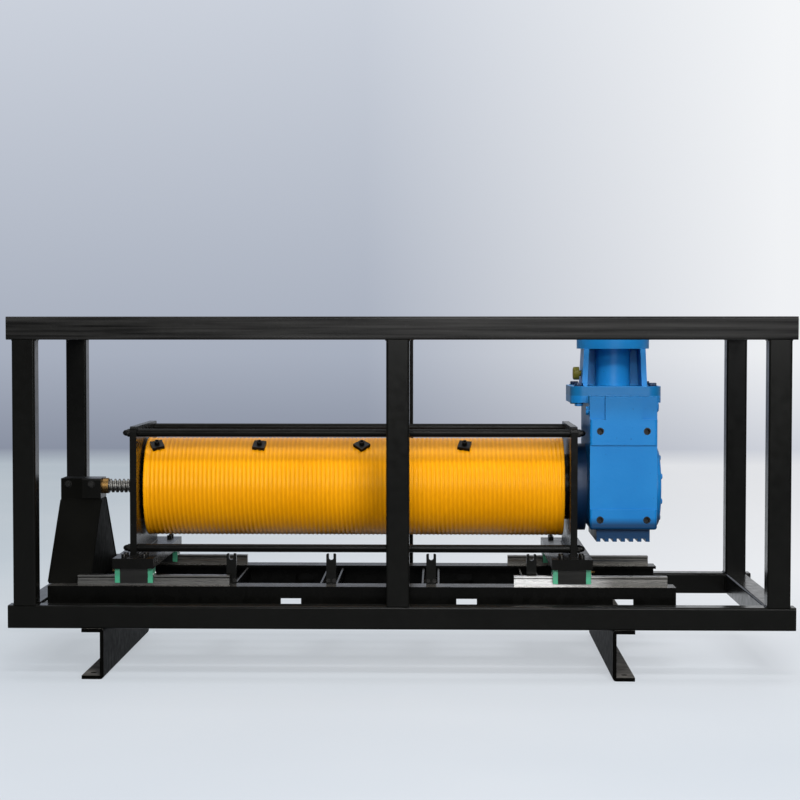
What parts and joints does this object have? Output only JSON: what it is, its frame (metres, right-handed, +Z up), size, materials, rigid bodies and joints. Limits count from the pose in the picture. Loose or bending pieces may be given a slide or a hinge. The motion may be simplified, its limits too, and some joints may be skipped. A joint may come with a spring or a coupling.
{
  "type": "stage winch with a travelling drum",
  "caption": "Stage winch in an open tube frame: a grooved drum and right-angle gear unit ride on linear guides, moved sideways by a fixed screw as the drum turns.",
  "frame": {"origin": "on the floor, under the middle of the tube frame", "axes": "+X along the drum from the screw's pedestal towards the gear unit, +Y from the rope forks towards the back, +Z up"},
  "size_m": [1.7, 0.72, 0.785],
  "materials": {
    "black_paint": "satin",
    "black_steel": "satin",
    "plug_plastic": "matte",
    "rail_steel": "satin",
    "screw_steel": "satin",
    "shaft_steel": "satin",
    "bearing_steel": "polished",
    "bronze": "satin",
    "cap_green": "matte",
    "gear_blue": "satin",
    "drum_yellow": "gloss",
    "breather_yellow": "matte"
  },
  "bodies": {
    "root": {"front_bottom_rail": "black_paint", "back_bottom_rail": "black_paint", "front_top_rail": "black_paint", "back_top_rail": "black_paint", "left_bottom_rail": "black_paint", "right_bottom_rail": "black_paint", "left_top_rail": "black_paint", "right_top_rail": "black_paint", "front_left_post": "black_paint", "front_middle_post": "black_paint", "front_right_post": "black_paint", "back_left_post": "black_paint", "back_middle_post": "black_paint", "back_right_post": "black_paint", "left_skid": "black_paint", "right_skid": "black_paint", "front_base_beam": "black_paint", "back_base_beam": "black_paint", "cross_members": "black_paint", "rope_fork_1": "black_paint", "rope_fork_2": "black_paint", "rope_fork_3": "black_paint", "rope_fork_4": "black_paint", "pedestal": "black_paint", "screw_block": "black_paint", "tube_plugs": "plug_plastic", "front_guide_rails": "rail_steel", "back_guide_rails": "rail_steel", "lead_screw": "screw_steel", "screw_collar": "bronze"},
    "carriage": {"front_left_guide_block": "black_steel", "front_right_guide_block": "black_steel", "back_left_guide_block": "black_steel", "back_right_guide_block": "black_steel", "guide_block_caps": "cap_green", "left_foot_plate": "black_paint", "right_foot_plate": "black_paint", "left_end_plate": "black_paint", "right_end_plate": "black_paint", "tie_rods": "black_steel", "dome_nuts": "black_steel", "left_bearing_housing": "black_paint", "right_bearing_housing": "black_paint", "drum_bearings": "bearing_steel", "gear_flange": "gear_blue", "gear_housing": "gear_blue", "gear_cover": "gear_blue", "gear_bearings": "bearing_steel", "motor_lantern": "gear_blue", "breather": "breather_yellow"},
    "drum": {"drum_shell": "drum_yellow", "drum_left_hub": "drum_yellow", "drum_right_hub": "drum_yellow", "screw_nut": "bronze", "output_shaft": "shaft_steel", "output_wheel": "shaft_steel", "rope_clamps": "black_steel"},
    "layshaft": {"layshaft": "shaft_steel", "bevel_wheel": "shaft_steel"},
    "input": {"input_shaft": "shaft_steel"}
  },
  "joints": [
    {"name": "carriage_slide", "type": "slide", "parent": "root", "child": "carriage", "axis": [1, 0, 0], "range_m": [-0.02, 0.15]},
    {"name": "drum_spin", "type": "hinge", "parent": "carriage", "child": "drum", "pos_m": [0, 0, 0.395], "axis": [1, 0, 0], "range_deg": [-720, 5400]},
    {"name": "layshaft_spin", "type": "hinge", "parent": "carriage", "child": "layshaft", "pos_m": [0.484, 0, 0.514], "axis": [1, 0, 0], "range_deg": [-16200, 2160]},
    {"name": "input_spin", "type": "hinge", "parent": "carriage", "child": "input", "pos_m": [0.484, 0, 0.6], "axis": [0, 0, 1], "range_deg": [-40500, 5400]}
  ],
  "couplings": [
    {"joint": "carriage_slide", "follows": "drum_spin", "m_per_rad": 0.0015915},
    {"joint": "layshaft_spin", "follows": "drum_spin", "ratio": -3},
    {"joint": "input_spin", "follows": "drum_spin", "ratio": -7.5}
  ]
}
